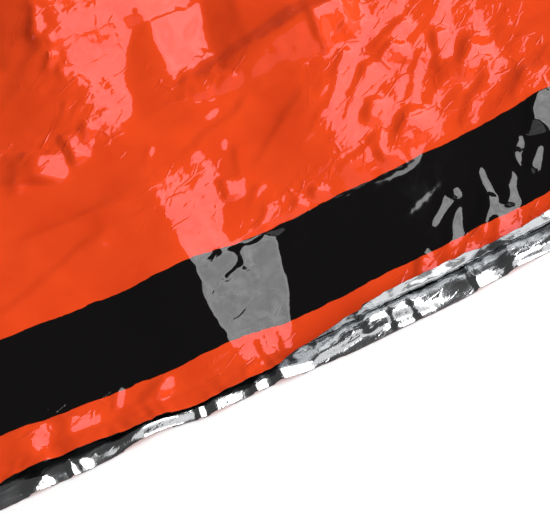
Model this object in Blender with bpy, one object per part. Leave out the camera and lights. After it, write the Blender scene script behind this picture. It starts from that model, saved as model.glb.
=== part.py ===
"""Emergency sleeping bag: two film panels, one on the other, welded together along both sides
and the foot and open at the mouth. It lies on its back, with a little air between the panels.

Units are metres. +X runs across the bag, +Y from the mouth to the foot and +Z up. The origin is
on the ground under the middle of the bag.
"""

import bmesh
import bpy
import numpy as np

# Driving dimensions of the bag
BAG_WIDTH = 1.000
BAG_LENGTH = 2.000
WELD_WIDTH = 0.012  # flat heat-sealed margin along the sides and the foot
WELD_GAP = 0.0003  # the two films lie face to face in the weld
FILM = 0.001  # thickness of each panel's solid

# How the bag lies
AIR_AT_MOUTH = 0.0100  # space between the films, past the weld gap
AIR_INSIDE = 0.0170
MOUTH_TAPER = 0.220  # length over which the space grows from the mouth inwards
SHOULDER = 0.095  # width over which the upper film climbs from a side weld
FOOT_SLOPE = 0.170
SIDE_DRAW = 0.004  # how far crumpling draws the sides in between the corners
SIDE_DRAW_WAVES = 3

# The mouth, place by place across the bag. Both cut edges lie behind -Y's end by the distances
# here, in millimetres, and the last of the upper film is a lip, turned up by an angle in degrees.
LIP_LENGTH = 0.020
LIP_RADIUS = 0.005
MOUTH_COLUMNS = ("x", "lower_back", "upper_back", "lip_turn")
MOUTH = (
    (-500, 14, 14, 0),
    (-375, 12, 38, 4),
    (-290, 10, 31, 14),
    (-225, 14, 25, 16),
    (-165, 6, 20, 6),
    (-100, 6, 18, 8),
    (-50, 2, 14, 60),
    (0, 0, 13, 88),
    (60, 0, 15, 120),
    (115, 0, 14, 130),
    (168, 3, 16, 96),
    (205, 5, 16, 106),
    (250, 7, 17, 130),
    (330, 9, 22, 70),
    (430, 11, 26, 10),
    (500, 14, 14, 0),
)

# Main folds of the upper film, in millimetres. Each is a ridge from one end to the other, with a
# crest, a flank on its left and one on its right as seen from its first end.
FOLD_COLUMNS = ("x0", "y0", "x1", "y1", "rise", "left", "right", "fade")
FOLDS = (
    (-105, -1010, -105, -745, 8.5, 150, 80, 45),  # fold beside the middle of the mouth
    (-104, -645, -101, -600, 8.0, 150, 46, 40),
    (-94, -530, -84, -420, 20.0, 110, 140, 110),
    (-10, -620, 2, -530, 4.0, 45, 58, 60),
    (100, -770, 138, -630, 8.5, 105, 190, 70),
    (330, -960, 300, -560, 5.0, 120, 95, 120),
    (148, -1000, 160, -880, 4.0, 60, 44, 40),
    (-368, -1000, -352, -925, 3.5, 50, 42, 30),
    (-192, -680, -184, -640, 5.0, 40, 40, 30),
    (160, -640, 55, -642, 6.0, 50, 40, 30),
    (-260, -420, -240, 60, 7.0, 95, 80, 120),
    (90, -330, 110, 190, 8.0, 90, 110, 140),
    (-60, 240, -90, 700, 7.5, 120, 90, 120),
    (260, 30, 250, 560, 6.0, 80, 70, 120),
    (-320, 380, -310, 760, 5.0, 90, 70, 110),
    (150, 500, 170, 860, 6.0, 90, 80, 110),
    (-380, -120, 360, -60, 3.0, 70, 60, 120),
    (-360, 520, 340, 570, 3.0, 70, 60, 120),
)

# Waves along the lower film's mouth edge, in millimetres
WAVE_COLUMNS = ("x", "rise", "half_width", "reach")
EDGE_WAVES = (
    (-335, 4.5, 26, 42),
    (-222, 4.0, 34, 40),
    (-40, 3.0, 40, 34),
    (118, 4.0, 46, 38),
    (270, 3.5, 50, 40),
    (410, 3.0, 36, 36),
)

# Grid of each panel: (end of the stretch, spacing in it), worked out from the last end
UPPER_COLUMNS = ((-0.488, 0.012), (-0.400, 0.022), (0.400, 0.0223), (0.488, 0.022), (0.500, 0.012))
UPPER_ROWS = (
    (0.020, 0.005),
    (0.044, 0.012),
    (0.560, 0.037),
    (1.798, 0.062),
    (1.988, 0.038),
    (2.000, 0.012),
)
LOWER_COLUMNS = ((-0.450, 0.050), (0.450, 0.0250), (0.500, 0.050))
LOWER_ROWS = ((0.048, 0.016), (0.120, 0.072), (2.000, 0.470))

ORANGE_FILM = (0.70, 0.075, 0.016)
SILVER_FILM = (0.78, 0.79, 0.80)


def ease(share):
    """0 to 1 with level ends, of a share that is held between 0 and 1."""
    share = np.clip(share, 0, 1)
    return share * share * (3 - 2 * share)


def grid_lines(start, stretches):
    """Places of grid lines from start on, evenly spaced within each stretch."""
    places = [start]
    for end, spacing in stretches:
        last = places[-1]
        count = max(1, round((end - last) / spacing))
        places += [last + (end - last) * (i + 1) / count for i in range(count)]
    return places


def at_mouth(x, name):
    """A value of the mouth's table at x, eased between its rows."""
    column = MOUTH_COLUMNS.index(name)
    for near, far in zip(MOUTH, MOUTH[1:]):
        if x * 1000 <= far[0]:
            share = ease((x * 1000 - near[0]) / (far[0] - near[0]))
            return near[column] + (far[column] - near[column]) * share
    return MOUTH[-1][column]


def drawn_in(x, y):
    """x after crumpling has drawn the sides in, with the four corners left where they are."""
    share = (y + BAG_LENGTH / 2) / BAG_LENGTH
    draw = SIDE_DRAW * np.sin(np.pi * SIDE_DRAW_WAVES * share) ** 2
    return x * (1 - draw / (BAG_WIDTH / 2))


def clear_of_welds(x, y):
    """0 on the side and foot welds, rising to 1 over the shoulders and the foot's slope."""
    from_side = BAG_WIDTH / 2 - WELD_WIDTH - abs(x)
    from_foot = BAG_LENGTH / 2 - WELD_WIDTH - y
    return ease(from_side / SHOULDER) * ease(from_foot / FOOT_SLOPE)


def fold_height(x, y, fold):
    """Height of one fold at a point: a ridge with a long left flank, a straight right one and eased ends."""
    f = dict(zip(FOLD_COLUMNS, fold))
    start = np.array((f["x0"], f["y0"])) / 1000
    end = np.array((f["x1"], f["y1"])) / 1000
    length = np.linalg.norm(end - start)
    along = (end - start) / length
    offset = np.array((x, y)) - start
    forward = offset @ along
    beside = offset @ np.array((along[1], -along[0]))
    if beside < 0:
        profile = ease(1 + beside * 1000 / f["left"])
    else:
        profile = max(0.0, 1 - beside * 1000 / f["right"])
    fade = f["fade"] / 1000
    ends = ease(1 + forward / fade) * ease(1 + (length - forward) / fade)
    return f["rise"] / 1000 * profile * ends


def upper_height(x, y):
    """Height of the upper film's underside above the ground, without the lip."""
    inwards = (y + BAG_LENGTH / 2) / MOUTH_TAPER
    air = AIR_AT_MOUTH + (AIR_INSIDE - AIR_AT_MOUTH) * ease(inwards)
    folds = sum(fold_height(x, y, fold) for fold in FOLDS)
    return FILM + WELD_GAP + (air + folds) * clear_of_welds(x, y)


def along_bag(inward, edge):
    """y at a distance inwards from a cut edge, with both films ending on one line at the foot."""
    return edge + inward * (BAG_LENGTH / 2 - edge) / BAG_LENGTH


def upper_point(x, inward):
    """Point of the upper film's underside, inward being its distance from the mouth's cut edge."""
    edge = -BAG_LENGTH / 2 + at_mouth(x, "upper_back") / 1000
    y = along_bag(inward, edge)
    z = upper_height(x, y)
    if inward < LIP_LENGTH:
        turn = np.radians(at_mouth(x, "lip_turn"))
        past = LIP_LENGTH - inward
        bent = min(past / LIP_RADIUS, turn)
        straight = past - bent * LIP_RADIUS
        bend_start = along_bag(LIP_LENGTH, edge)
        y = bend_start - LIP_RADIUS * np.sin(bent) - straight * np.cos(bent)
        z = upper_height(x, bend_start) + LIP_RADIUS * (1 - np.cos(bent)) + straight * np.sin(bent)
    return drawn_in(x, y), y, z


def lower_point(x, inward):
    """Point of the lower film's underside: flat on the ground, with waves along its mouth edge."""
    y = along_bag(inward, -BAG_LENGTH / 2 + at_mouth(x, "lower_back") / 1000)
    z = 0.0
    for wave in EDGE_WAVES:
        w = dict(zip(WAVE_COLUMNS, wave))
        beside = ease(1 - abs(x * 1000 - w["x"]) / w["half_width"])
        inside = max(0.0, 1 - inward * 1000 / w["reach"]) ** 2
        z += w["rise"] / 1000 * beside * inside
    return drawn_in(x, y), y, z


def film_material(name, colour, roughness, metallic):
    material = bpy.data.materials.new(name)
    material.use_nodes = True
    shader = material.node_tree.nodes["Principled BSDF"]
    shader.inputs["Base Color"].default_value = (*colour, 1)
    shader.inputs["Roughness"].default_value = roughness
    shader.inputs["Metallic"].default_value = metallic
    return material


def film_panel(name, columns, rows, point_at, material):
    """A grid laid on point_at's surface and given the film's thickness on its upper side."""
    form = bmesh.new()
    across, along = len(columns) - 1, len(rows) - 1
    bmesh.ops.create_grid(form, x_segments=across, y_segments=along, size=1)
    for corner in form.verts:
        column = round((corner.co.x + 1) / 2 * across)
        row = round((corner.co.y + 1) / 2 * along)
        corner.co = point_at(columns[column], rows[row])
    mesh = bpy.data.meshes.new(name)
    form.to_mesh(mesh)
    form.free()
    mesh.materials.append(material)
    mesh.shade_smooth()
    panel = bpy.data.objects.new(name, mesh)
    bpy.context.collection.objects.link(panel)
    thickness = panel.modifiers.new("film thickness", "SOLIDIFY")
    thickness.thickness = FILM
    thickness.offset = 1
    return panel


def main():
    for leftover in list(bpy.data.objects):
        bpy.data.objects.remove(leftover)
    film_panel(
        "lower_panel",
        grid_lines(-BAG_WIDTH / 2, LOWER_COLUMNS),
        grid_lines(0.0, LOWER_ROWS),
        lower_point,
        film_material("aluminised side of the film", SILVER_FILM, 0.18, 1.0),
    )
    film_panel(
        "upper_panel",
        grid_lines(-BAG_WIDTH / 2, UPPER_COLUMNS),
        grid_lines(0.0, UPPER_ROWS),
        upper_point,
        film_material("orange side of the film", ORANGE_FILM, 0.12, 0.0),
    )


main()
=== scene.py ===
"""Looks of the emergency sleeping bag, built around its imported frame.

The bag is two sheets of metallised polythene, orange outside and silver inside, with a black band
printed beside the mouth. It lies on its back on a pale floor. Lengths are metres unless a name or a
table says millimetres. +X runs across the bag, +Y from the mouth to the foot and +Z up.
"""

import bpy
import numpy as np
from mathutils import Matrix, Vector


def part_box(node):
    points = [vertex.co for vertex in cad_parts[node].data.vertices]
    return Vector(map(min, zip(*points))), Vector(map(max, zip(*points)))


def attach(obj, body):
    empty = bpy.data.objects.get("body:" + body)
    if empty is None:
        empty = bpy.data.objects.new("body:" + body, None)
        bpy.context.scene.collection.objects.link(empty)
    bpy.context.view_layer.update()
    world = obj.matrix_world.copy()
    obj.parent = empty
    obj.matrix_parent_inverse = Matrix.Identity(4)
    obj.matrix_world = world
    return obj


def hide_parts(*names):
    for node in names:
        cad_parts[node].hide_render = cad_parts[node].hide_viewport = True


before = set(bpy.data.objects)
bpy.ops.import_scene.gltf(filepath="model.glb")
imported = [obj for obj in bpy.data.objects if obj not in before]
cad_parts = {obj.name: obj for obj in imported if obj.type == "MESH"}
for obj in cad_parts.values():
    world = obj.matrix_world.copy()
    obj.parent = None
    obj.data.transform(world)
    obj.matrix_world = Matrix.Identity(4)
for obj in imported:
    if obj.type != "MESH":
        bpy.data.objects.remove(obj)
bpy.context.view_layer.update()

# Sizes read from the frame
LOWEST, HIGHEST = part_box("lower_panel")
BAG_WIDTH = HIGHEST.x - LOWEST.x
BAG_LENGTH = HIGHEST.y - LOWEST.y
MOUTH_Y = LOWEST.y
FOOT_Y = HIGHEST.y

# The film and its welds
FILM = 0.0004  # drawn thickness of a sheet; the real one is about 0.04 mm
EDGE_LIFT = 0.0010  # how far the lower film's cut edge stands off the ground
EDGE_BEAD = 0.0022  # a cut edge lower than this has a bead that reaches down to the ground
MEAN_SETBACK = 0.012  # a cut edge lies about this far behind the mouth's furthest point
WELD_WIDTH = 0.012
WELD_GAP = 0.0003
BAND_START = 47  # near and far edge of the printed band, in millimetres from the cut edge
BAND_END = 149
PRINT_BLUR = 0.3  # half the width over which one ink goes over into the other

# How the upper sheet lies, before its folds
AIR_AT_MOUTH = 0.0100
AIR_INSIDE = 0.0170
MOUTH_TAPER = 0.220
MOUTH_DROOP_START = 0.020  # the upper film comes down to the lower one over a stretch at the mouth
MOUTH_DROOP = 0.220
SHOULDER = 0.095
FOOT_SLOPE = 0.170
SIDE_DRAW = 0.004  # how far crumpling draws the sides in between the corners
SIDE_DRAW_WAVES = 3

# The mouth, place by place across the bag: how far each cut edge lies behind the mouth's furthest
# point, in millimetres, how far the upper film's lip is turned up, in degrees, and how far the lip's
# root lies above the lower film, in millimetres.
LIP_LENGTH = 0.020
LIP_RADIUS = 0.005
UPPER_EDGE_RAG = 0.0014  # how far a cut edge wanders
LOWER_EDGE_RAG = 0.0006
RAG_CELLS = ((1.0, 0.024), (0.4, 0.007))  # shares of that, and the lengths over which they change
MOUTH_COLUMNS = ("x", "lower_back", "upper_back", "lip_turn", "gap")
MOUTH = (
    (-500, 14, 14, 0, 0.0),
    (-375, 12, 38, 4, 2.5),
    (-290, 10, 31, 14, 2.5),
    (-225, 14, 25, 16, 2.0),
    (-165, 6, 20, 6, 1.5),
    (-100, 6, 18, 8, 1.5),
    (-50, 2, 14, 60, 2.0),
    (0, 0, 13, 88, 2.5),
    (60, 0, 15, 120, 3.5),
    (115, 0, 14, 130, 4.0),
    (168, 3, 16, 96, 2.0),
    (205, 5, 16, 106, 3.0),
    (250, 7, 17, 130, 4.0),
    (330, 9, 22, 70, 4.0),
    (430, 11, 26, 10, 3.5),
    (500, 14, 14, 0, 0.0),
)

# The lower film's cut edge, in millimetres: it lies flat up to start and arches up to height at
# crest, both measured inwards from the edge. Further in it comes down over the crest's distance
# times ARCH_FALL.
ARCH_FALL = 1.6
ARCH_COLUMNS = ("x", "start", "crest", "height")
ARCH = (
    (-500, 0, 14, 0.0),
    (-400, 0, 14, 0.6),
    (-350, 0, 12, 1.0),
    (-318, 0, 12, 1.6),
    (-290, 0, 14, 1.2),
    (-262, 0, 9, 2.2),
    (-232, 0, 10, 3.0),
    (-196, 0, 10, 2.4),
    (-160, 0, 10, 0.6),
    (-100, 0, 12, 0.6),
    (-56, 0, 8, 0.8),
    (-30, 3, 13, 2.6),
    (20, 9, 21, 3.4),
    (60, 8, 20, 3.2),
    (86, 2, 14, 1.6),
    (112, 0, 14, 0.4),
    (150, 0, 10, 1.8),
    (175, 0, 10, 1.6),
    (222, 0, 9, 2.0),
    (280, 0, 12, 2.0),
    (500, 0, 12, 0.0),
)

# Folds, in millimetres. Each has a crest from its first end to its second, a rounded flank on its
# left and on its right a straight flank that falls by slope, as wide as right and right_end say.
FOLD_COLUMNS = ("x0", "y0", "x1", "y1", "slope", "left", "right", "right_end", "fade")
LOWER_EDGE_FOLDS = (  # y is measured inwards from the cut edge
    (-366, 2, -352, 10, 0.10, 16, 30, 24, 8),
    (-323, -4, -320, 26, 0.22, 2, 12, 8, 10),
    (-310, 4, -312, 22, 0.16, 5, 12, 6, 8),
    (-242, -4, -232, 30, 0.08, 34, 52, 34, 24),
    (-181, -4, -176, 14, 0.16, 3, 12, 8, 10),
    (-162, -4, -157, 20, 0.085, 12, 34, 30, 16),
    (-115, 0, -109, 20, 0.17, 8, 12, 12, 12),
    (-87, -6, -84, 12, 0.13, 10, 28, 36, 16),
    (22, 17, 26, 32, 0.13, 12, 22, 22, 12),
    (46, 6, 50, 30, 0.07, 4, 24, 20, 12),
    (72, -2, 72, 28, 0.07, 4, 18, 20, 12),
    (140, -2, 142, 34, 0.15, 3, 22, 20, 12),
    (188, -4, 192, 26, 0.10, 20, 32, 32, 16),
    (262, -4, 268, 26, 0.10, 30, 42, 30, 20),
    (402, -4, 396, 26, 0.08, 60, 50, 40, 20),
)
# In 44 of the upper film's rows the end points, right flanks and fades were worked out by another
# program and pasted in, so that part of the table is data and not a design.
UPPER_FOLDS = (
    (24, -650, 31, -641, 0.23, 20, 31, 8, 36),
    (1, -654, 4, -645, 0.23, 14, 16, 17, 20),
    (-14, -664, -5, -645, 0.23, 8, 3, 7, 8),
    (-196, -672, -184, -650, 0.20, 40, 38, 34, 8),
    (-150, -672, -147, -646, 0.20, 7, 20, 18, 8),
    (-148, -634, -124, -612, 0.22, 8, 5, 6, 6),
    (-140, -635, -108, -618, 0.19, 8, 5, 7, 6),
    (-216, -678, -212, -662, 0.21, 20, 9, 8, 8),
    (-124, -655, -122, -650, 0.31, 13.6, 6, 12, 20),
    (-106, -498, -90, -472, 0.26, 10, 6, 6, 11),
    (-111, -533, -110, -518, 0.34, 20.4, 9, 9, 17),
    (-86, -480, -83, -473, 0.24, 8, 8, 12, 21),
    (-87, -710, -75, -698, 0.2, 6, 3, 6, 8),
    (-11, -801, 3, -792, 0.17, 6, 4, 8, 8),
    (20, -828, 24, -825, 0.17, 8, 6, 15, 14),
    (48, -826, 52, -822, 0.17, 8, 12, 16, 7),
    (-18, -832, -6, -820, 0.17, 6, 7, 9, 8),
    (146, -672, 151, -642, 0.21, 12, 21, 18, 24),
    (166, -673, 171, -669, 0.2, 8, 11, 18, 19),
    (65, -772, 98, -749, 0.21, 5, 2, 4, 5),
    (112, -745, 159, -696, 0.19, 10, 6, 12, 12),
    (121, -762, 169, -724, 0.19, 12, 5, 19, 19),
    (194, -704, 231, -687, 0.17, 10, 8, 14, 13),
    (197, -714, 206, -710, 0.16, 10, 23, 28, 24),
    (199, -766, 229, -732, 0.17, 10, 6, 14, 12),
    (243, -748, 255, -719, 0.16, 12, 19, 24, 20),
    (216, -779, 251, -758, 0.15, 14, 14, 26, 20),
    (271, -754, 278, -747, 0.15, 14, 41, 39, 32),
    (261, -800, 288, -773, 0.15, 14, 18, 19, 15),
    (147, -771, 155, -761, 0.17, 14, 19, 20, 18),
    (162, -807, 177, -795, 0.16, 14, 24, 35, 29),
    (133, -820, 135, -811, 0.17, 10, 18, 8, 16),
    (230, -823, 249, -803, 0.15, 8, 11, 16, 12),
    (291, -821, 309, -802, 0.15, 10, 13, 22, 17),
    (140, -908, 160, -891, 0.16, 6, 4, 8, 6),
    (172, -890, 175, -885, 0.16, 6, 7, 6, 6),
    (138, -946, 167, -909, 0.15, 14, 18, 3, 14),
    (178, -940, 198, -921, 0.14, 16, 30, 32, 22),
    (201, -910, 209, -882, 0.16, 10, 13, 4, 11),
    (218, -923, 238, -890, 0.15, 12, 14, 4, 11),
    (247, -893, 254, -872, 0.16, 8, 6, 8, 7),
    (258, -878, 265, -866, 0.16, 5, 5, 5, 4),
    (257, -903, 275, -888, 0.15, 8, 13, 8, 10),
    (286, -858, 298, -839, 0.14, 10, 24, 22, 17),
    (105, -941, 114, -931, 0.16, 8, 13, 3, 11),
    (97, -951, 101, -945, 0.17, 8, 19, 16, 18),
    (122, -960, 128, -952, 0.17, 6, 8, 10, 9),
    (146, -959, 153, -953, 0.16, 10, 28, 25, 23),
    (187, -955, 193, -948, 0.16, 10, 17, 22, 18),
    (-357, -966, -330, -924, 0.17, 30, 18, 20, 8),
    (-306, -950, -298, -930, 0.15, 24, 28, 32, 8),
    (-219, -956, -203, -943, 0.29, 13.6, 9, 13, 20),
    (-31, -784, -29, -769, 0.15, 8, 20, 20, 6),
    (-110, -508, -104, -500, 0.3, 6, 8, 10, 8),
    (-118, -524, -112, -514, 0.3, 10.2, 10, 8, 8),
    (-107, -543, -104, -532, 0.28, 6, 8, 8, 6),
    (-122, -566, -116, -556, 0.32, 10.2, 8, 12, 8),
    (-114, -582, -110, -574, 0.3, 8.5, 6, 8, 6),
    (176, -638, 48, -643, 0.60, 50, 27, 14, 34),
    (-203, -952, -190, -938, 0.2, 10, 10, 10, 8),
    (-246, -938, -240, -926, 0.22, 6, 8, 8, 8),
    (-54, -868, -52, -846, 0.13, 5, 6, 6, 6),
    (-56, -864, -76, -869, 0.22, 6, 4, 3, 6),
    (93, -812, 139, -799, 0.045, 9, 40, 46, 18),
    (-36, -722, 33, -699, 0.040, 10, 40, 50, 24),
    (24, -762, 88, -722, 0.040, 10, 36, 50, 24),
    (-238, -731, -145, -742, 0.040, 12, 50, 40, 30),
    (-300, -800, -180, -770, 0.035, 12, 50, 60, 30),
    (-8, -770, 6, -742, 0.050, 8, 24, 30, 14),
)
ROOT_FOLDS = (  # beside the lip's root
    (-90, -976, -86, -950, 0.14, 2, 8, 12, 12),
    (-70, -972, -64, -948, 0.14, 2, 10, 8, 12),
)
FAR_FOLDS = (  # the rest of the bag, past the printed band
    (-368, -1000, -352, -925, 0.08, 50, 42, 42, 30),
    (330, -960, 300, -560, 0.05, 120, 95, 95, 120),
    (-260, -420, -240, 60, 0.09, 95, 80, 80, 120),
    (90, -330, 110, 190, 0.075, 90, 110, 110, 140),
    (-60, 240, -90, 700, 0.085, 120, 90, 90, 120),
    (260, 30, 250, 560, 0.085, 80, 70, 70, 120),
    (-320, 380, -310, 760, 0.07, 90, 70, 70, 110),
    (150, 500, 170, 860, 0.075, 90, 80, 80, 110),
    (-380, -120, 360, -60, 0.05, 70, 60, 60, 120),
    (-360, 520, 340, 570, 0.05, 70, 60, 60, 120),
)

# Long ridges of the upper film, station by station, in millimetres. Right of the crest the film
# falls by slope over a steep strip and then goes back to its level by gentle; on the left it has a
# rounded flank.
RIDGE_COLUMNS = ("y", "x", "rise", "left", "steep", "slope", "gentle")
RIDGES = (
    (
        (-1030, -100, 3, 60, 14, 0.14, 0.03),
        (-985, -104, 4, 70, 24, 0.14, 0.03),
        (-950, -112, 8, 110, 60, 0.14, 0.03),
        (-925, -112, 10, 120, 76, 0.135, 0.03),
        (-868, -107, 11, 120, 90, 0.125, 0.03),
        (-846, -106, 11, 120, 98, 0.125, 0.08),
        (-836, -106, 10.5, 120, 46, 0.16, 0.03),
        (-805, -102, 10, 110, 50, 0.16, 0.03),
        (-783, -101, 10, 120, 72, 0.14, 0.03),
        (-765, -101, 11, 130, 76, 0.15, 0.03),
        (-746, -100, 10.8, 140, 72, 0.15, 0.02),
        (-735, -99, 10.2, 150, 68, 0.14, 0.02),
        (-722, -98, 7.4, 160, 66, 0.085, 0.02),
        (-705, -97, 5.6, 170, 60, 0.05, 0.02),
        (-685, -96, 5.1, 180, 50, 0.03, 0.02),
        (-663, -98, 6.5, 180, 32, 0.09, 0.02),
        (-655, -103, 8, 180, 32, 0.16, 0.02),
        (-640, -106, 10, 170, 42, 0.18, 0.03),
        (-620, -100, 10.5, 150, 40, 0.18, 0.03),
        (-600, -102, 11.5, 120, 50, 0.18, 0.03),
        (-580, -103, 14, 110, 68, 0.17, 0.03),
        (-560, -96, 17, 110, 90, 0.16, 0.03),
        (-545, -95, 21, 110, 128, 0.15, 0.03),
        (-520, -92, 23, 110, 148, 0.145, 0.03),
        (-462, -85, 22, 110, 145, 0.14, 0.03),
        (-400, -82, 17, 110, 100, 0.14, 0.03),
        (-330, -90, 12, 110, 20, 0.15, 0.03),
        (-260, -95, 8, 110, 0, 0.15, 0.03),
        (-150, -95, 0, 110, 0, 0.15, 0.03),
    ),
    (
        (-712, -12, 0, 50, 0, 0.0, 0.03),
        (-690, -12, 1, 50, 10, 0.04, 0.04),
        (-668, -12, 2, 50, 30, 0.07, 0.05),
        (-655, -14, 3, 50, 42, 0.11, 0.07),
        (-645, -14, 4, 50, 52, 0.14, 0.10),
        (-634, -14, 4, 50, 58, 0.17, 0.15),
        (-615, -10, 4, 48, 58, 0.19, 0.20),
        (-600, -8, 4, 45, 58, 0.20, 0.20),
        (-575, -3, 4, 34, 58, 0.20, 0.20),
        (-560, 0, 3, 24, 60, 0.18, 0.16),
        (-546, 0, 1, 16, 60, 0.15, 0.12),
        (-520, 2, 0, 16, 60, 0.11, 0.09),
        (-480, 6, 0, 16, 50, 0.06, 0.06),
        (-440, 10, 0, 16, 40, 0.00, 0.03),
    ),
    (
        (-840, 85, 0, 80, 170, 0.0, 0.03),
        (-805, 88, 4, 80, 190, 0.05, 0.04),
        (-780, 96, 6, 90, 200, 0.09, 0.05),
        (-740, 108, 9, 100, 200, 0.12, 0.05),
        (-690, 132, 9, 110, 180, 0.12, 0.05),
        (-650, 138, 9, 110, 175, 0.12, 0.05),
        (-600, 140, 6, 100, 165, 0.09, 0.04),
        (-540, 145, 3, 90, 150, 0.05, 0.03),
        (-480, 150, 0, 90, 120, 0.0, 0.03),
    ),
)

# Crumpled patches of the upper film: an oval's middle and half sizes in millimetres, its turn in
# degrees, and the slope of the facets in it. The slope fades between two shares of the oval's size.
# Coarse facets are modelled, fine ones are bump.
PATCH_RIM = (0.8, 1.3)
PATCH_COLUMNS = ("x", "y", "half_x", "half_y", "turn", "slope")
COARSE_PATCHES = (
    (230, -715, 140, 85, 20, 0.165),
    (270, -800, 60, 26, 25, 0.10),
    (322, -785, 30, 46, 10, 0.14),
    (-60, -755, 46, 26, 0, 0.04),
    (-150, -540, 60, 60, -10, 0.08),
    (-180, -660, 60, 24, 0, 0.08),
    (0, 300, 420, 640, 0, 0.07),
    (-330, -250, 120, 200, 0, 0.06),
    (350, -300, 110, 260, 0, 0.08),
)
FINE_PATCHES = (
    (220, -730, 135, 85, 25, 0.06),
    (270, -800, 60, 26, 25, 0.07),
    (322, -785, 34, 50, 10, 0.09),
    (-70, -770, 60, 46, 0, 0.04),
    (-70, -890, 34, 60, 0, 0.015),
    (-90, -560, 60, 90, -10, 0.04),
    (-104, -600, 15, 90, 0, 0.11),
    (-24, -640, 12, 40, 0, 0.07),
    (30, -640, 40, 20, -10, 0.08),
    (-170, -650, 60, 20, -10, 0.10),
    (-300, -945, 70, 14, 0, 0.07),
    (-100, -962, 60, 14, 0, 0.07),
    (170, -955, 90, 14, 0, 0.10),
    (30, -815, 60, 14, 10, 0.09),
    (110, -805, 50, 14, 10, 0.09),
    (0, 300, 420, 640, 0, 0.05),
    (350, -300, 110, 300, 0, 0.06),
)

# Modelled facets by where they are: their slope, a facet's width in metres, the direction in which
# they are long, in degrees, how many times longer than wide they are, and a seed
FACETS = {
    "everywhere": (0.018, 0.070, 25, 1.6, 3),
    "coarse patches": (1.0, 0.026, 22, 2.7, 11),
    "lower edge": (0.018, 0.022, 8, 2.6, 61),
    "lip": (0.30, 0.0075, 68, 1.7, 51),
}
FACETED_EDGE = 0.060  # how far in the lower film's edge folds and facets reach
FACETED_EDGE_FADE = 0.030
LOWER_EDGE_SIDE = 0.040  # over which they rise from a side weld
LIP_CREASE_START = 0.010  # over which the lip's creases set in
WANDER = ((0.0030, 0.022), (0.0012, 0.009))  # small shifts of every fold, and their cells
RANDOM_CELLS = 64  # cells after which random values come round again

# Grids, in metres: (end of the stretch, spacing in it) across the bag, and inwards from the mouth
UPPER_COLUMNS = ((-0.404, 0.0096), (0.340, 0.00372), (0.500, 0.0100))
UPPER_ROWS = ((LIP_LENGTH, LIP_LENGTH / 14), (0.570, 0.00275), (BAG_LENGTH, 0.0094))
LOWER_COLUMNS = ((-0.420, 0.0080), (0.340, 0.0025), (0.500, 0.0100))
LOWER_ROWS = ((0.048, 0.0015), (0.072, 0.0030), (BAG_LENGTH, 0.0536))
BACK_STEP = 4  # past the mouth, a sheet's unseen face has one row for each four
BACK_STRIDE = 2  # and one column for each two
LOWER_LIP_ROWS = 28  # rows over which a sheet's back is as dense as its front
UPPER_LIP_ROWS = 14
SHARP_ANGLE = 70  # degrees between two faces past which their edge isn't smoothed
FRONT, BACK, RIM = 0, 1, 2  # a sheet's material slots

# Bump, in millimetres
FILM_WAVES = 0.20  # height of the slow waviness
FINE_FACET = 11  # width of the fine crumpling's facets in the printed film
SMALL_FACET = FINE_FACET / 2.6
CREASE_HEIGHT = 4.5  # of a crease line where the fine crumpling's slope is 1

# Floor, lights and camera
FLOOR_Z = -0.0003
FLOOR_RADIUS = 40.0
FLOOR_CORNERS = 96
WALL_TOP = (0.12, 0.45)  # how high a direction points where the pale walls begin and end to darken
BACKDROP_LIGHT = 0.945  # what the camera sees past the floor
WALL_LIGHT = 0.30
FAR_WALL_LIGHT = 0.09  # on the side away from the mouth
FAR_WALL_START = 0.5  # how far along Y a direction points where that side begins
CEILING_LIGHT = 0.060

# Each softbox has a direction from the lit point, a distance, half angles in degrees, a brightness,
# and whether glossy surfaces mirror it
LIT_POINT = (-0.02, -0.80, 0.0)
SOFTBOX_COLUMNS = ("name", "x", "y", "z", "distance", "half_width", "half_height", "brightness", "mirrored")
SOFTBOXES = (
    ("softbox over the foot", 0.643, 0.251, 0.723, 15.0, 16, 19, 5.5, True),
    ("softbox overhead", 0.22, -0.12, 0.97, 12.0, 12, 12, 0.9, True),
    ("softbox on the left", -0.75, -0.25, 0.62, 7.0, 20, 20, 1.2, True),
    ("softbox on the right", 0.90, -0.25, 0.36, 7.0, 20, 18, 1.3, True),
    ("softbox in front", 0.35, -0.85, 0.45, 7.0, 18, 15, 1.5, True),
    ("fill", 0.72, -0.50, 0.48, 9.0, 20, 16, 5.2, False),
)
SOFTBOX_CLOUDS = (0.72, 1.28)  # darkest and brightest share of a softbox's own light

CAMERA_TARGET = (-0.025, -0.8705, 0.015)
CAMERA_AZIMUTH = -29.4
CAMERA_ELEVATION = 58.0
CAMERA_DISTANCE = 7.0
CAMERA_WIDTH = 0.558  # width of the view at the target
SENSOR_WIDTH = 36  # in millimetres


def ease(share):
    """0 to 1 with level ends, of a share that is held between 0 and 1."""
    share = np.clip(share, 0, 1)
    return share * share * (3 - 2 * share)


def grid_lines(start, stretches):
    """Places of grid lines from start on, evenly spaced within each stretch."""
    lines = [np.array([start])]
    for end, spacing in stretches:
        last = lines[-1][-1]
        count = max(1, round((end - last) / spacing))
        lines.append(last + (end - last) * np.arange(1, count + 1) / count)
    return np.concatenate(lines)


def column_of(table, names, name):
    """One named column of a table, as an array."""
    return np.array(table, float)[:, names.index(name)]


def eased_lookup(x, table, names, name):
    """A table's value at x in metres: between two rows it goes over with level ends."""
    places = column_of(table, names, "x")
    values = column_of(table, names, name)
    at = x * 1000
    row = np.clip(np.searchsorted(places, at) - 1, 0, len(places) - 2)
    share = ease((at - places[row]) / (places[row + 1] - places[row]))
    return values[row] + (values[row + 1] - values[row]) * share


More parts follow.
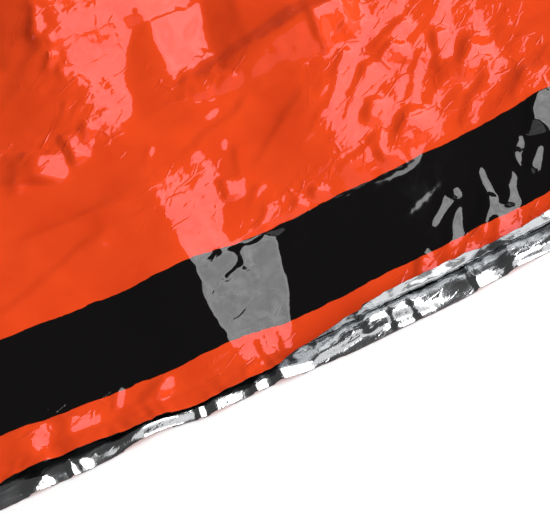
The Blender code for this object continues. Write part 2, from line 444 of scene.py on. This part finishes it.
def smooth_noise(x, y, cell, seed):
    """Noise from -1 to 1: random values on a square grid of cells, eased between its corners."""
    values = np.random.default_rng(seed).random((RANDOM_CELLS, RANDOM_CELLS)) * 2 - 1
    u, v = x / cell, y / cell
    i, j = np.floor(u).astype(int), np.floor(v).astype(int)
    a, b = ease(u - i), ease(v - j)

    def corner(right, up):
        return values[(i + right) % RANDOM_CELLS, (j + up) % RANDOM_CELLS]

    near = corner(0, 0) * (1 - a) + corner(1, 0) * a
    far = corner(0, 1) * (1 - a) + corner(1, 1) * a
    return near * (1 - b) + far * b


def nearest_squared(u, v, seed):
    """Squared distance to the nearest of the points of a plane that has one in each unit square."""
    jitter = np.random.default_rng(seed).random((RANDOM_CELLS, RANDOM_CELLS, 2))
    i, j = np.floor(u).astype(int), np.floor(v).astype(int)
    nearest = np.full(u.shape, np.inf)
    for right in (-1, 0, 1):
        for up in (-1, 0, 1):
            point = jitter[(i + right) % RANDOM_CELLS, (j + up) % RANDOM_CELLS]
            gap = (i + right + point[..., 0] - u) ** 2 + (j + up + point[..., 1] - v) ** 2
            nearest = np.minimum(nearest, gap)
    return nearest


def crumple(x, y, cell, turn, stretch, seed):
    """Flat facets between sharp creases, of slope 1: the difference of two squared distances to
    scattered points is flat wherever both nearest points stay the same. The facets are a cell
    wide and longer by stretch along turn, and noise over four cells bends them by up to half one."""
    c, s = np.cos(np.radians(turn)), np.sin(np.radians(turn))
    u = (x * c + y * s) / stretch / cell
    v = (y * c - x * s) / cell
    bent_u = u + 0.5 * smooth_noise(u, v, 4.0, seed + 5)
    bent_v = v + 0.5 * smooth_noise(u, v, 4.0, seed + 6)
    difference = nearest_squared(bent_u, bent_v, seed) - nearest_squared(bent_u, bent_v, seed + 1)
    return cell / 2 * difference


def faceted(x, y, name):
    """Height of one of the kinds of modelled facets: a crumple times its slope."""
    slope, *form = FACETS[name]
    return slope * crumple(x, y, *form)


def wander(x, y, seed):
    """A small shift of place, which makes every crest and flank uneven."""
    return sum(
        shift * smooth_noise(x, y, cell, seed + 2 * step) for step, (shift, cell) in enumerate(WANDER)
    )


def fold_heights(x, y, table):
    """Sum of a table's folds. Left of a crest the height is an eased ramp, right of it a straight
    fall as wide as the flank, and past both ends it eases away over the fade."""
    total = np.zeros(x.shape)
    for row in table:
        fold = dict(zip(FOLD_COLUMNS, row))
        start = np.array((fold["x0"], fold["y0"])) / 1000
        end = np.array((fold["x1"], fold["y1"])) / 1000
        length = np.linalg.norm(end - start)
        along = (end - start) / length
        fade = fold["fade"] / 1000
        reach = max(fold["left"], fold["right"], fold["right_end"]) / 1000 + fade + length / 2
        middle = (start + end) / 2
        near = (abs(x - middle[0]) < reach) & (abs(y - middle[1]) < reach)
        forward = (x[near] - start[0]) * along[0] + (y[near] - start[1]) * along[1]
        beside = (x[near] - start[0]) * along[1] - (y[near] - start[1]) * along[0]
        share = np.clip(forward / length, 0, 1)
        width = (fold["right"] + (fold["right_end"] - fold["right"]) * share) / 1000
        left = ease(1 + beside * 1000 / fold["left"])
        right = np.clip(1 - beside / width, 0, 1)
        ends = ease(1 + forward / fade) * ease(1 + (length - forward) / fade)
        total[near] += np.where(beside < 0, left, right) * width * fold["slope"] * ends
    return total


def ridge_heights(x, y):
    """Sum of the long ridges, each with its values read between its stations along y."""
    total = np.zeros(x.shape)
    for stations in RIDGES:
        places = column_of(stations, RIDGE_COLUMNS, "y")
        at = {
            name: np.interp(y * 1000, places, column_of(stations, RIDGE_COLUMNS, name))
            for name in RIDGE_COLUMNS
        }
        beside = x * 1000 - at["x"]
        steep = np.minimum(beside, at["steep"])
        foot = at["rise"] - at["slope"] * steep
        right = np.sign(foot) * np.maximum(0, abs(foot) - at["gentle"] * (beside - steep))
        left = at["rise"] * ease(1 + beside / at["left"])
        total += np.where(beside > 0, right, left) / 1000
    return total


def patch_slope(x, y, table):
    """The facets' slope at a point: the largest that any of the table's ovals gives there."""
    inner, outer = PATCH_RIM
    slope = np.zeros(x.shape)
    for row in table:
        patch = dict(zip(PATCH_COLUMNS, row))
        c, s = np.cos(np.radians(patch["turn"])), np.sin(np.radians(patch["turn"]))
        dx, dy = x * 1000 - patch["x"], y * 1000 - patch["y"]
        u = (dx * c + dy * s) / patch["half_x"]
        v = (dy * c - dx * s) / patch["half_y"]
        inside = ease((outer - np.hypot(u, v)) / (outer - inner))
        slope = np.maximum(slope, patch["slope"] * inside)
    return slope


def drawn_in(x, y):
    """x after crumpling has drawn the sides in, with the four corners left where they are."""
    share = (y - MOUTH_Y) / BAG_LENGTH
    draw = SIDE_DRAW * np.sin(np.pi * SIDE_DRAW_WAVES * share) ** 2
    return x * (1 - draw / (BAG_WIDTH / 2))


def clear_of_welds(x, y):
    """0 on the side and foot welds, rising to 1 over the shoulders and the foot's slope."""
    from_side = BAG_WIDTH / 2 - WELD_WIDTH - abs(x)
    from_foot = FOOT_Y - WELD_WIDTH - y
    return ease(from_side / SHOULDER) * ease(from_foot / FOOT_SLOPE)


def along_bag(inward, edge):
    """y at a distance inwards from a cut edge, with both films ending on one line at the foot."""
    return edge + inward * (FOOT_Y - edge) / BAG_LENGTH


def lower_top(x, inward):
    """Height of the lower film's silver side above the ground: level, arched and folded at its cut
    edge, where a few shallow facets run along it."""
    at = {name: eased_lookup(x, ARCH, ARCH_COLUMNS, name) / 1000 for name in ARCH_COLUMNS[1:]}
    rising = ease((inward - at["start"]) / (at["crest"] - at["start"]))
    falling = ease(1 + (at["crest"] - inward) / (ARCH_FALL * at["crest"]))
    near_edge = ease((FACETED_EDGE - inward) / FACETED_EDGE_FADE)
    edge = fold_heights(x, inward, LOWER_EDGE_FOLDS) + EDGE_LIFT + faceted(x, inward, "lower edge")
    rise = at["height"] * rising * falling + edge * near_edge
    from_side = BAG_WIDTH / 2 - WELD_WIDTH - abs(x)
    return FILM + np.maximum(0, rise) * ease(from_side / LOWER_EDGE_SIDE)


def cut_edge(x, name, raggedness, seed):
    """y of a film's cut edge at the mouth, from its table and a fine raggedness."""
    ragged = sum(
        share * smooth_noise(x, x, cell, seed + step) for step, (share, cell) in enumerate(RAG_CELLS)
    )
    return MOUTH_Y + eased_lookup(x, MOUTH, MOUTH_COLUMNS, name) / 1000 + abs(raggedness * ragged)


def upper_top(x, y):
    """Height of the upper film's orange side above the ground, without the lip. At the mouth the
    film comes down to its gap, and it stays half a gap or more above the lower film."""
    gap = eased_lookup(x, MOUTH, MOUTH_COLUMNS, "gap") / 1000
    bent_x = x + wander(x, y, 31)
    bent_y = y + wander(x, y, 32)
    folds = sum(fold_heights(bent_x, bent_y, table) for table in (UPPER_FOLDS, ROOT_FOLDS, FAR_FOLDS))
    crumpled = faceted(x, y, "everywhere")
    crumpled += patch_slope(x, y, COARSE_PATCHES) * faceted(x, y, "coarse patches")
    past_root = y - MOUTH_Y - MOUTH_DROOP_START
    air = AIR_AT_MOUTH + (AIR_INSIDE - AIR_AT_MOUTH) * ease((y - MOUTH_Y) / MOUTH_TAPER)
    air = gap + (air - gap) * ease(past_root / MOUTH_DROOP)
    rise = (air + folds + ridge_heights(bent_x, bent_y) + crumpled) * clear_of_welds(x, y)
    edge = MOUTH_Y + eased_lookup(x, MOUTH, MOUTH_COLUMNS, "lower_back") / 1000
    floor = lower_top(x, y - edge)
    return np.maximum(2 * FILM + WELD_GAP + rise, floor + FILM + WELD_GAP + 0.5 * gap)


def upper_surface(x, inward):
    """Points of the upper film's orange side. Past the lip's root the film bends up round a small
    radius by the lip's angle, and then runs on straight. Fine creases cross the lip."""
    edge = cut_edge(x, "upper_back", UPPER_EDGE_RAG, 41)
    turn = np.radians(eased_lookup(x, MOUTH, MOUTH_COLUMNS, "lip_turn"))
    past = np.maximum(0, LIP_LENGTH - inward)
    bent = np.minimum(past / LIP_RADIUS, turn)
    straight = past - bent * LIP_RADIUS
    root = along_bag(np.maximum(inward, LIP_LENGTH), edge)
    y = root - LIP_RADIUS * np.sin(bent) - straight * np.cos(bent)
    z = upper_top(x, root) + LIP_RADIUS * (1 - np.cos(bent)) + straight * np.sin(bent)
    crease = ease(past / LIP_CREASE_START) * faceted(x, inward, "lip")
    y = y + crease * np.sin(bent)
    z = z + crease * np.cos(bent)
    return np.stack((drawn_in(x, y), y, z), -1)


def lower_surface(x, inward):
    """Points of the lower film's silver side."""
    y = along_bag(inward, cut_edge(x, "lower_back", LOWER_EDGE_RAG, 43))
    return np.stack((drawn_in(x, y), y, lower_top(x, inward)), -1)


def lowest_around(heights, reach):
    """Each height's lowest neighbour within reach places along both axes."""
    for axis in (0, 1):
        padded = np.pad(heights, [(reach, reach) if a == axis else (0, 0) for a in (0, 1)], "edge")
        count = heights.shape[axis]
        shifted = [np.take(padded, range(s, s + count), axis) for s in range(2 * reach + 1)]
        heights = np.min(shifted, axis=0)
    return heights


def back_faces(front):
    """Two forms of a sheet's other face. The close one is the film's thickness below the front. The
    other takes the lowest of the front around each point, so that a sparse face stays below it."""
    across = np.gradient(front, axis=1)
    along = np.gradient(front, axis=0)
    normal = np.cross(across, along)
    normal /= np.linalg.norm(normal, axis=-1, keepdims=True)
    close = front - FILM * normal
    close[..., 2] = np.maximum(0, close[..., 2])
    close[0, :, 2] = np.where(close[0, :, 2] < EDGE_BEAD, 0, close[0, :, 2])
    sparse = close.copy()
    sparse[..., 2] = np.maximum(0, lowest_around(front[..., 2], BACK_STEP) - FILM)
    return close, sparse


def quads(ids):
    """Faces between the neighbouring points of a grid."""
    return np.stack((ids[:-1, :-1], ids[:-1, 1:], ids[1:, 1:], ids[1:, :-1]), -1).reshape(-1, 4)


def fans(dense, thin, stride):
    """Faces between a dense line of points and a thin one, which has one point for each stride. Each
    face takes in all the dense points between two thin ones."""
    starts = np.arange(0, len(dense) - stride, stride)
    dense_part = dense[starts[:, None] + np.arange(stride + 1)]
    return np.concatenate((dense_part, thin[1:, None], thin[:-1, None]), 1)


def sheet_faces(front, close, sparse, lip_rows):
    """A closed sheet's faces and their slots, from the numbers of its points: the front, the back's
    dense and sparse parts, and a rim round them."""
    faces = [(quads(front), FRONT)]
    for part in (quads(close), fans(close[-1], sparse[0], BACK_STRIDE), quads(sparse)):
        faces.append((part[:, ::-1], BACK))
    mouth_rim = (front[0, 1:], front[0, :-1], close[0, :-1], close[0, 1:])
    faces.append((np.stack(mouth_rim, -1), RIM))
    faces.append((fans(front[-1], sparse[-1], BACK_STRIDE), RIM))
    for side, flip in ((0, False), (-1, True)):
        dense = front[:, side]
        lip_rim = (dense[:lip_rows], dense[1 : lip_rows + 1], close[1:, side], close[:-1, side])
        thin = np.concatenate((close[-1:, side], sparse[:, side]))
        for part in (np.stack(lip_rim, -1), fans(dense[lip_rows:], thin, BACK_STEP)):
            faces.append((part[:, ::-1] if flip else part, RIM))
    return faces


def film_sheet(name, columns, rows, surface, lip_rows, materials):
    """A closed sheet: a dense front on surface's points, a back that is as dense over the lip rows
    and sparse after them, and a rim. The materials are the front's, the back's and the rim's."""
    x, inward = np.meshgrid(columns, rows)
    front = surface(x, inward)
    close, sparse = back_faces(front)
    lip = slice(lip_rows + 1)
    kept_rows = np.arange(lip_rows + BACK_STEP, len(rows), BACK_STEP)
    kept_columns = np.arange(0, len(columns), BACK_STRIDE)
    kept = np.ix_(kept_rows, kept_columns)
    points = [part.reshape(-1, 3) for part in (front, close[lip], sparse[kept])]
    flat_x, flat_y = (
        np.concatenate((grid.ravel(), grid[lip].ravel(), grid[kept].ravel())) for grid in (x, inward)
    )
    front_id = np.arange(x.size).reshape(x.shape)
    close_id = front_id[lip] + x.size
    sparse_id = np.arange(close_id[-1, -1] + 1, len(flat_x)).reshape(len(kept_rows), -1)
    polygons = []
    slots = []
    for part, slot in sheet_faces(front_id, close_id, sparse_id, lip_rows):
        polygons += part.tolist()
        slots += [slot] * len(part)
    mesh = bpy.data.meshes.new(name)
    mesh.from_pydata(np.concatenate(points), [], polygons)
    for material in materials:
        mesh.materials.append(material)
    mesh.polygons.foreach_set("material_index", slots)
    lay_flat(mesh, flat_x, flat_y)
    mesh.shade_smooth()
    mesh.set_sharp_from_angle(angle=np.radians(SHARP_ANGLE))
    sheet = bpy.data.objects.new(name, mesh)
    bpy.context.collection.objects.link(sheet)
    return sheet


def lay_flat(mesh, flat_x, flat_y):
    """The UV map holds each point's place on the sheet before it was crumpled, as a share of the
    bag's length, and an attribute holds the slope of the fine crumpling there."""
    places = np.stack(((flat_x + BAG_WIDTH / 2) / BAG_LENGTH, flat_y / BAG_LENGTH), -1)
    corners = np.empty(len(mesh.loops), np.int32)
    mesh.loops.foreach_get("vertex_index", corners)
    layer = mesh.uv_layers.new(name="flat film")
    layer.uv.foreach_set("vector", places[corners].astype(np.float32).ravel())
    slope = patch_slope(flat_x, MOUTH_Y + MEAN_SETBACK + flat_y, FINE_PATCHES)
    crumpled = mesh.attributes.new("fine crumple", "FLOAT", "POINT")
    crumpled.data.foreach_set("value", slope.astype(np.float32))


# Materials

# Sockets, by number, of a Mix node that mixes two colours
SHARE = 0
COLOUR_A = 6
COLOUR_B = 7
MIXED = 2


def linear(hex_colour):
    """Linear colour of an sRGB hex value."""
    values = np.array([int(hex_colour[i : i + 2], 16) for i in (0, 2, 4)]) / 255
    lin = np.where(values <= 0.04045, values / 12.92, ((values + 0.055) / 1.055) ** 2.4)
    return (*(float(value) for value in lin), 1.0)


def add(tree, kind, inputs=(), **settings):
    """Adds a node: settings by name, and inputs by name or number, each a value, an output, or a
    node, which stands for its first output."""
    made = tree.nodes.new(kind)
    for name, value in settings.items():
        setattr(made, name, value)
    for name, value in dict(inputs).items():
        if isinstance(value, bpy.types.Node):
            value = value.outputs[0]
        if isinstance(value, bpy.types.NodeSocket):
            tree.links.new(value, made.inputs[name])
        else:
            made.inputs[name].default_value = value
    return made


def make_material(name, surface):
    """A material of one Principled shader. surface adds the patterns and gives the shader's inputs."""
    material = bpy.data.materials.new(name)
    material.use_nodes = True
    tree = material.node_tree
    tree.nodes.clear()
    shader = add(tree, "ShaderNodeBsdfPrincipled", surface(tree))
    add(tree, "ShaderNodeOutputMaterial", {"Surface": shader})
    return material


def flat_millimetres(tree):
    """The place on the flat film in millimetres, X across the bag and Y inwards from the cut. A
    noise's scale on it is one over the size of its clouds in millimetres."""
    uv = add(tree, "ShaderNodeUVMap", uv_map="flat film")
    scale = (BAG_LENGTH * 1000, BAG_LENGTH * 1000, 1)
    return add(tree, "ShaderNodeMapping", {"Vector": uv, "Scale": scale})


def scatter(tree, place, cell, stretch, turn, shift, feature):
    """Distance, in cells, to points scattered one to a cell, or to the borders between them. Cells
    are as many millimetres wide as cell says, and longer by stretch along turn."""
    towards = {"Location": (shift, shift, 0), "Rotation": (0, 0, -np.radians(turn))}
    turned = add(tree, "ShaderNodeMapping", {"Vector": place, **towards})
    shares = {"Vector": turned, "Scale": (1 / stretch / cell, 1 / cell, 1)}
    squeezed = add(tree, "ShaderNodeMapping", shares)
    points = {"Vector": squeezed, "Scale": 1.0}
    return add(tree, "ShaderNodeTexVoronoi", points, voronoi_dimensions="2D", feature=feature)


def crease_lines(tree, place, cell, stretch, turn, width):
    """Narrow ridges, 1 high and as many millimetres wide as width says, along the borders between
    scattered points, with some stretches left out."""
    border = scatter(tree, place, cell, stretch, turn, 13.7, "DISTANCE_TO_EDGE")
    across = {"Value": border, "From Max": width / 2 / cell, "To Min": 1.0, "To Max": 0.0}
    ridge = add(tree, "ShaderNodeMapRange", across)
    noise = add(tree, "ShaderNodeTexNoise", {"Vector": place, "Scale": 1 / cell, "Detail": 1.0})
    stretches = {"Value": noise, "From Min": 0.46, "From Max": 0.54}
    shown = add(tree, "ShaderNodeMapRange", stretches, interpolation_type="SMOOTHSTEP")
    return add(tree, "ShaderNodeMath", {0: ridge, 1: shown}, operation="MULTIPLY")


def facets(tree, place, cell, stretch, turn):
    """Flat facets, cell millimetres wide, as the modelled ones: the difference of the squared
    distances to two scatters of points."""
    squares = []
    for shift in (0.0, 71.3):
        distance = scatter(tree, place, cell, stretch, turn, shift, "F1")
        squares.append(add(tree, "ShaderNodeMath", {0: distance, 1: distance}, operation="MULTIPLY"))
    return add(tree, "ShaderNodeMath", {0: squares[0], 1: squares[1]}, operation="SUBTRACT")


def printed_film(tree):
    """Polythene film, gravure printed and laminated to foil: a bright orange under a hard clear
    gloss that mirrors lamps with sharp edges, and a jet black band in the same gloss."""
    place = flat_millimetres(tree)
    inward = add(tree, "ShaderNodeSeparateXYZ", {0: place}).outputs["Y"]
    past_start, past_end = (
        add(
            tree,
            "ShaderNodeMapRange",
            {"Value": inward, "From Min": edge - PRINT_BLUR, "From Max": edge + PRINT_BLUR},
            interpolation_type="SMOOTHSTEP",
        )
        for edge in (BAND_START, BAND_END)
    )
    band = add(tree, "ShaderNodeMath", {0: past_start, 1: past_end}, operation="SUBTRACT")
    # lighter and darker orange in clouds a few centimetres across: painted shade and faint painted
    # reflections of the film's slow folds, laid on as random mottling
    clouds = add(tree, "ShaderNodeTexNoise", {"Vector": place, "Scale": 1 / 45, "Detail": 3.0})
    orange_mottle_painted_shade = {SHARE: clouds, COLOUR_A: linear("d93e17"), COLOUR_B: linear("f14e1f")}
    orange = add(tree, "ShaderNodeMix", orange_mottle_painted_shade, data_type="RGBA").outputs[MIXED]
    prints = {SHARE: band, COLOUR_A: orange, COLOUR_B: linear("0e0c0c")}
    colour = add(tree, "ShaderNodeMix", prints, data_type="RGBA").outputs[MIXED]
    # the orange is a clear ink over foil and warms what it mirrors, the black is opaque and doesn't
    tints = {SHARE: band, COLOUR_A: linear("ffa7b8"), COLOUR_B: linear("ffffff")}
    tint = add(tree, "ShaderNodeMix", tints, data_type="RGBA").outputs[MIXED]
    # handling leaves the gloss a little duller in places
    handled = add(tree, "ShaderNodeTexNoise", {"Vector": place, "Scale": 1 / 18, "Detail": 4.0})
    duller = {"Value": handled, "From Min": 0.3, "From Max": 0.7, "To Min": 0.030, "To Max": 0.065}
    return {
        "Base Color": colour,
        "Roughness": add(tree, "ShaderNodeMapRange", duller),
        "IOR": 1.5,
        "Specular Tint": tint,
        "Normal": film_creases(tree, place),
    }


def film_creases(tree, place):
    """Fine facets where the film is crumpled, and a slow waviness of a few hundredths of a
    millimetre everywhere, which makes the edges of reflections wander."""
    slope = add(tree, "ShaderNodeAttribute", attribute_name="fine crumple").outputs["Fac"]
    waves = add(tree, "ShaderNodeTexNoise", {"Vector": place, "Scale": 1 / 24, "Detail": 2.0})
    below = add(tree, "ShaderNodeBump", {"Height": waves, "Distance": FILM_WAVES / 1000})
    layers = (  # each a pattern and its height in millimetres where the slope is 1
        (facets(tree, place, FINE_FACET, 2.4, 20), FINE_FACET / 2),
        (facets(tree, place, SMALL_FACET, 2.4, 42), SMALL_FACET / 4),
        (crease_lines(tree, place, 19, 2.6, 24, 2.4), CREASE_HEIGHT),
    )
    for pattern, height in layers:
        rise = add(tree, "ShaderNodeMath", {0: pattern, 1: slope}, operation="MULTIPLY")
        above = {"Height": rise, "Distance": height / 1000, "Normal": below}
        below = add(tree, "ShaderNodeBump", above)
    return below


def aluminised_film(tree):
    """Aluminium evaporated on film: a bright mirror, blurred by the film's own fine wrinkles and
    rubbed duller in streaks along the bag's width."""
    place = flat_millimetres(tree)
    along = {"Vector": place, "Rotation": (0, 0, 0.15), "Scale": (1 / 30, 1 / 4, 1)}
    streaks = add(tree, "ShaderNodeMapping", along)
    rubbed = add(tree, "ShaderNodeTexNoise", {"Vector": streaks, "Scale": 1.0, "Detail": 4.0})
    duller = {"Value": rubbed, "From Min": 0.3, "From Max": 0.7, "To Min": 0.10, "To Max": 0.19}
    shades = {SHARE: rubbed, COLOUR_A: linear("dcdee0"), COLOUR_B: linear("cfd0d2")}
    return {
        "Base Color": add(tree, "ShaderNodeMix", shades, data_type="RGBA").outputs[MIXED],
        "Metallic": 1.0,
        "Roughness": add(tree, "ShaderNodeMapRange", duller),
        "Normal": silver_creases(tree, place),
    }


def silver_creases(tree, place):
    """A slow waviness, shallow facets a few millimetres wide along the cut edge, finer ones across
    it, and creases."""
    layers = (  # each a pattern and its height in millimetres
        (add(tree, "ShaderNodeTexNoise", {"Vector": place, "Scale": 1 / 15, "Detail": 2.0}), FILM_WAVES),
        (facets(tree, place, 7, 3.0, 12), 0.105),
        (facets(tree, place, 2.6, 2.0, 60), 0.026),
        (crease_lines(tree, place, 11, 3.5, 14, 2.0), 0.09),
    )
    below = None
    for pattern, height in layers:
        above = {"Height": pattern, "Distance": height / 1000}
        if below is not None:
            above["Normal"] = below
        below = add(tree, "ShaderNodeBump", above)
    return below


def painted_shade_edge(tree):
    """Slit polythene: the sheet's thin cut edge, coloured a dark red-brown as painted shade, for the dark
    shadow line along the cut edges.
    """
    return {"Base Color": linear("451a14"), "Roughness": 0.5, "IOR": 1.5}


def matt_laminate(tree):
    """Matt white laminate: plain and pale, with a faint unevenness."""
    place = add(tree, "ShaderNodeTexCoord").outputs["Object"]
    grain = add(tree, "ShaderNodeTexNoise", {"Vector": place, "Scale": 6.0, "Detail": 2.0})
    shades = {SHARE: grain, COLOUR_A: linear("f8f8f8"), COLOUR_B: linear("fbfbfb")}
    colour = add(tree, "ShaderNodeMix", shades, data_type="RGBA").outputs[MIXED]
    return {"Base Color": colour, "Roughness": 0.8, "IOR": 1.45}


# Floor, lights and camera


def lay_floor():
    """A round floor, under the bag by less than shows."""
    turns = np.linspace(0, 2 * np.pi, FLOOR_CORNERS, endpoint=False)
    level = np.full(FLOOR_CORNERS, FLOOR_Z)
    rim = np.stack((FLOOR_RADIUS * np.cos(turns), FLOOR_RADIUS * np.sin(turns), level), -1)
    mesh = bpy.data.meshes.new("floor")
    mesh.from_pydata(rim, [], [list(range(FLOOR_CORNERS))])
    mesh.materials.append(make_material("matt white laminate", matt_laminate))
    floor = bpy.data.objects.new("floor", mesh)
    bpy.context.collection.objects.link(floor)


def light_room():
    """A room that is pale low down and dark overhead, so that level film looks dark and clear, with
    a darker far wall past the foot. The camera itself sees a plain pale backdrop."""
    world = bpy.data.worlds.new("studio")
    bpy.context.scene.world = world
    world.use_nodes = True
    tree = world.node_tree
    tree.nodes.clear()
    direction = add(tree, "ShaderNodeTexCoord").outputs["Generated"]
    parts = add(tree, "ShaderNodeSeparateXYZ", {0: direction})
    upwards = {"Value": parts.outputs["Z"], "From Min": WALL_TOP[0], "From Max": WALL_TOP[1]}
    overhead = add(tree, "ShaderNodeMapRange", upwards, interpolation_type="SMOOTHSTEP")
    far = {"Value": parts.outputs["Y"], "From Max": FAR_WALL_START}
    walls = add(tree, "ShaderNodeMapRange", {**far, "To Min": WALL_LIGHT, "To Max": FAR_WALL_LIGHT})
    grey = add(tree, "ShaderNodeMapRange", {"Value": overhead, "To Min": walls, "To Max": CEILING_LIGHT})
    seen = add(tree, "ShaderNodeLightPath").outputs["Is Camera Ray"]
    shown = add(tree, "ShaderNodeMapRange", {"Value": seen, "To Min": grey, "To Max": BACKDROP_LIGHT})
    light = add(tree, "ShaderNodeBackground", {"Color": shown})
    add(tree, "ShaderNodeOutputWorld", {"Surface": light})


def shade_face(lamp):
    """A softbox's cloth is brighter in some places than in others, which shows where the film
    mirrors it: a noise over its face scales its light."""
    lamp.use_nodes = True
    tree = lamp.node_tree
    tree.nodes.clear()
    place = add(tree, "ShaderNodeNewGeometry").outputs["Parametric"]
    clouds = add(tree, "ShaderNodeTexNoise", {"Vector": place, "Scale": 5.0, "Detail": 3.0})
    shades = {"To Min": SOFTBOX_CLOUDS[0], "To Max": SOFTBOX_CLOUDS[1]}
    strength = add(
        tree, "ShaderNodeMapRange", {"Value": clouds, "From Min": 0.3, "From Max": 0.7, **shades}
    )
    face = add(tree, "ShaderNodeEmission", {"Strength": strength})
    add(tree, "ShaderNodeOutputLight", {"Surface": face})


def hang_softboxes():
    """Rectangular lamps that face the mouth of the bag, level with the camera. A lamp's power is pi
    times its area times the brightness of its face, and the fill isn't mirrored."""
    azimuth = np.radians(CAMERA_AZIMUTH)
    camera_right = Vector((np.cos(azimuth), np.sin(azimuth), 0))
    for row in SOFTBOXES:
        box = dict(zip(SOFTBOX_COLUMNS, row))
        direction = Vector((box["x"], box["y"], box["z"])).normalized()
        width = 2 * box["distance"] * np.tan(np.radians(box["half_width"]))
        height = 2 * box["distance"] * np.tan(np.radians(box["half_height"]))
        lamp = bpy.data.lights.new(box["name"], "AREA")
        lamp.shape = "RECTANGLE"
        lamp.size = width
        lamp.size_y = height
        lamp.energy = np.pi * width * height * box["brightness"]
        shade_face(lamp)
        holder = bpy.data.objects.new(box["name"], lamp)
        holder.location = Vector(LIT_POINT) + direction * box["distance"]
        across = (camera_right - direction * camera_right.dot(direction)).normalized()
        facing = Matrix((across, direction.cross(across), direction)).transposed()
        holder.rotation_euler = facing.to_euler()
        holder.visible_camera = False
        holder.visible_glossy = box["mirrored"]
        bpy.context.collection.objects.link(holder)


def place_camera():
    """The camera looks at the target from a distance along its azimuth and elevation, and its lens
    makes the view as wide there as the camera's width says."""
    azimuth, elevation = np.radians(CAMERA_AZIMUTH), np.radians(CAMERA_ELEVATION)
    back = Vector(
        (np.sin(azimuth) * np.cos(elevation), -np.cos(azimuth) * np.cos(elevation), np.sin(elevation))
    )
    data = bpy.data.cameras.new("camera")
    data.sensor_width = SENSOR_WIDTH
    data.lens = SENSOR_WIDTH * CAMERA_DISTANCE / CAMERA_WIDTH
    data.clip_start = 0.1
    data.clip_end = 200
    camera = bpy.data.objects.new("camera", data)
    camera.location = Vector(CAMERA_TARGET) + back * CAMERA_DISTANCE
    camera.rotation_euler = back.to_track_quat("Z", "Y").to_euler()
    bpy.context.collection.objects.link(camera)
    bpy.context.scene.camera = camera
    bpy.context.scene.view_settings.view_transform = "Standard"


def main():
    """Both films, each in place of its CAD panel, and then the floor, the lights and the camera."""
    silver = make_material("vacuum aluminised film", aluminised_film)
    orange = make_material("gravure printed polythene film", printed_film)
    # the cut edges' dark red-brown is painted shade
    edge = make_material("cut edge in painted shade", painted_shade_edge)
    lower = film_sheet(
        "lower_film",
        grid_lines(-BAG_WIDTH / 2, LOWER_COLUMNS),
        grid_lines(0.0, LOWER_ROWS),
        lower_surface,
        LOWER_LIP_ROWS,
        (silver, orange, edge),
    )
    upper = film_sheet(
        "upper_film",
        grid_lines(-BAG_WIDTH / 2, UPPER_COLUMNS),
        grid_lines(0.0, UPPER_ROWS),
        upper_surface,
        UPPER_LIP_ROWS,
        (orange, silver, edge),
    )
    for piece, node, slot in ((lower, "lower_panel", "inner_film"), (upper, "upper_panel", "outer_film")):
        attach(piece, "root")
        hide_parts(node)
    lay_floor()
    light_room()
    hang_softboxes()
    place_camera()


main()
